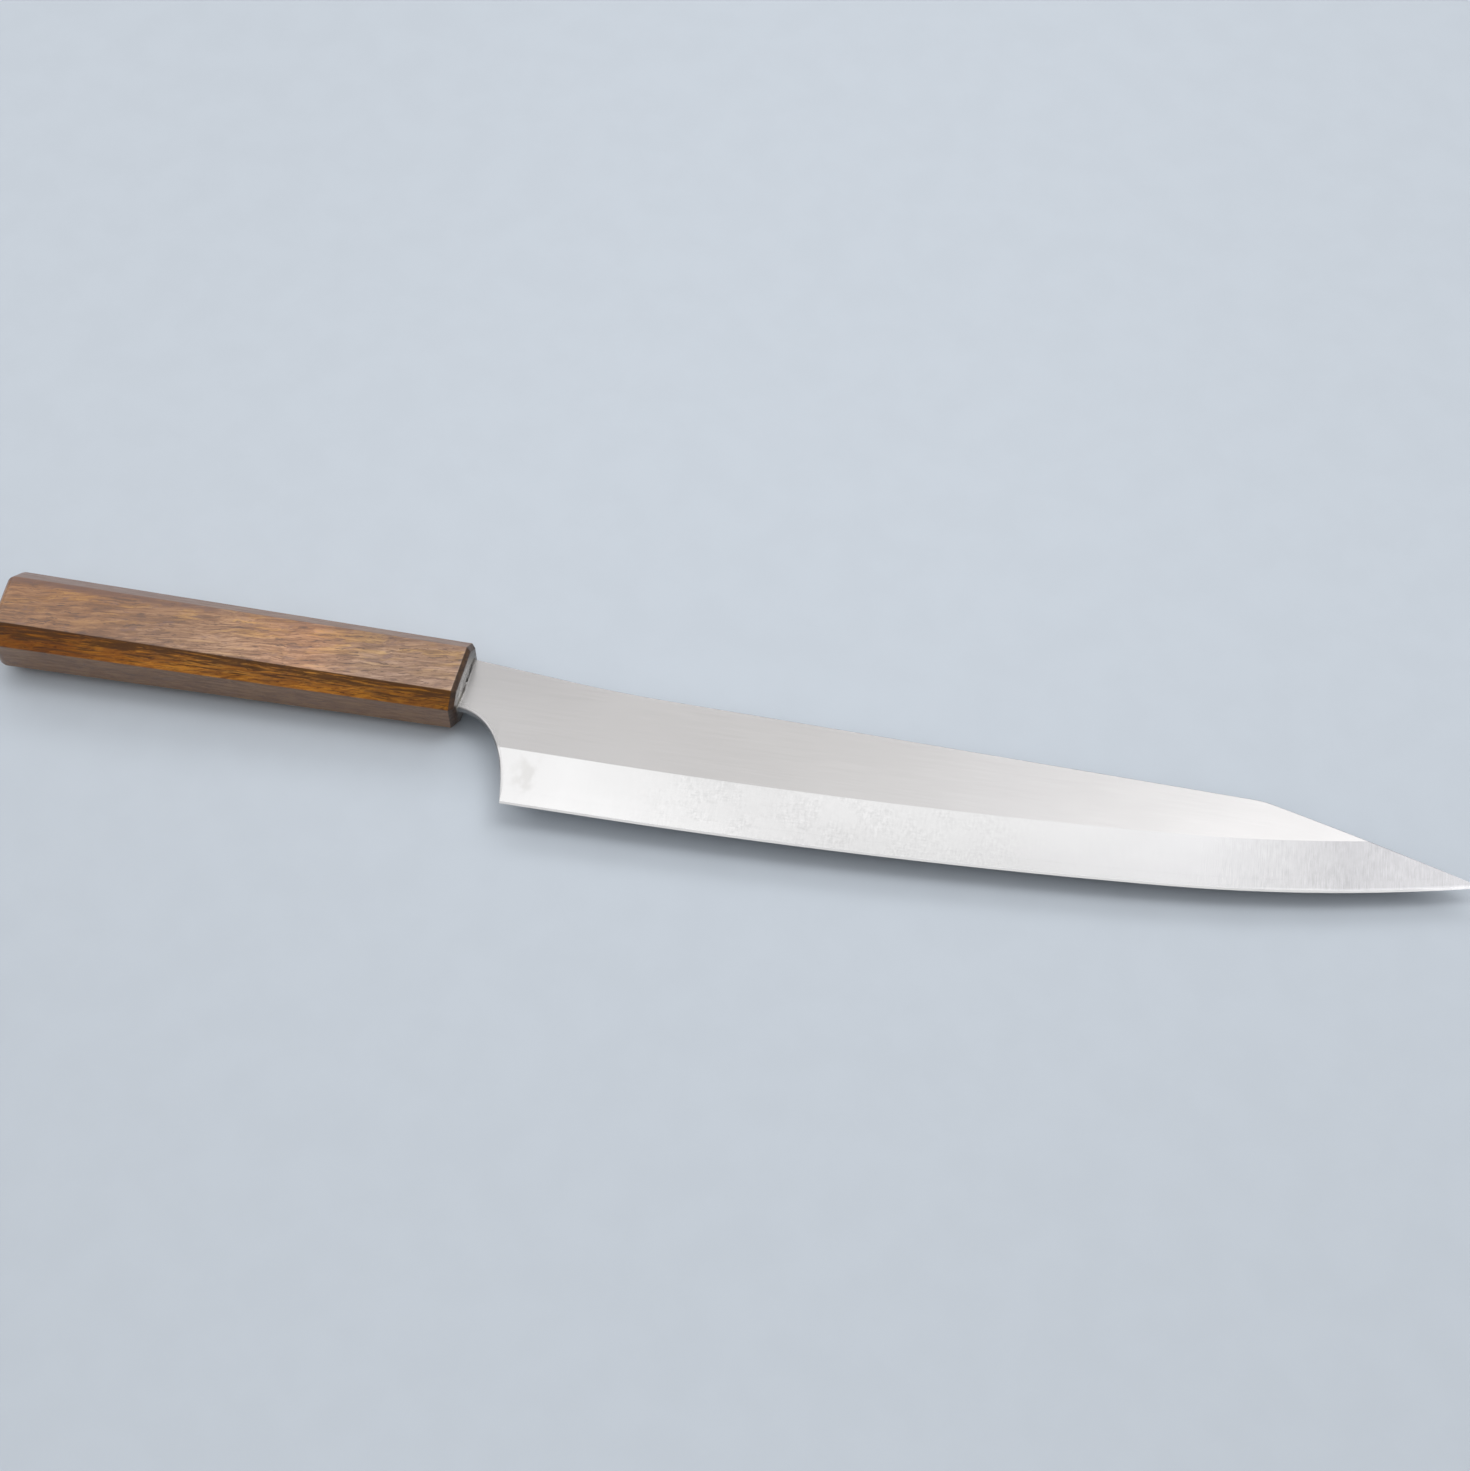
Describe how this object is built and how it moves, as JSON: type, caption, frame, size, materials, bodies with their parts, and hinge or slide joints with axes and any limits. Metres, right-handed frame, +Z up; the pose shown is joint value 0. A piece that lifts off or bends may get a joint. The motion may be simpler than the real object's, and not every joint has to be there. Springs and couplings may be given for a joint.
{
  "type": "slicing knife",
  "caption": "Long slicing knife with a laminated double-bevel steel blade, an angled tip and an eight-sided one-piece wooden handle, lying on the handle's flat.",
  "frame": {"origin": "middle of the flat face of the handle that the knife lies on", "axes": "+X along the resting face from the butt to the tip, +Y to the spine side, +Z up, square to the resting face"},
  "size_m": [0.4251, 0.0487, 0.0207],
  "materials": {
    "blade_cladding": "satin ground flat with a polished wide bevel",
    "blade_core": "bright honed edge",
    "tang_steel": "rough ground",
    "handle_wood": "oiled hardwood with open straight grain",
    "mouth_filler": "dark hard filler",
    "dowel_wood": "plain hardwood",
    "bedding_resin": "cured amber resin"
  },
  "bodies": {
    "root": {"core_steel": "blade_core", "cladding_right": "blade_cladding", "cladding_left": "blade_cladding", "tang": "tang_steel", "handle_body": "handle_wood", "neck_seal": "mouth_filler", "tang_dowel": "dowel_wood", "tang_bedding": "bedding_resin"}
  },
  "joints": []
}
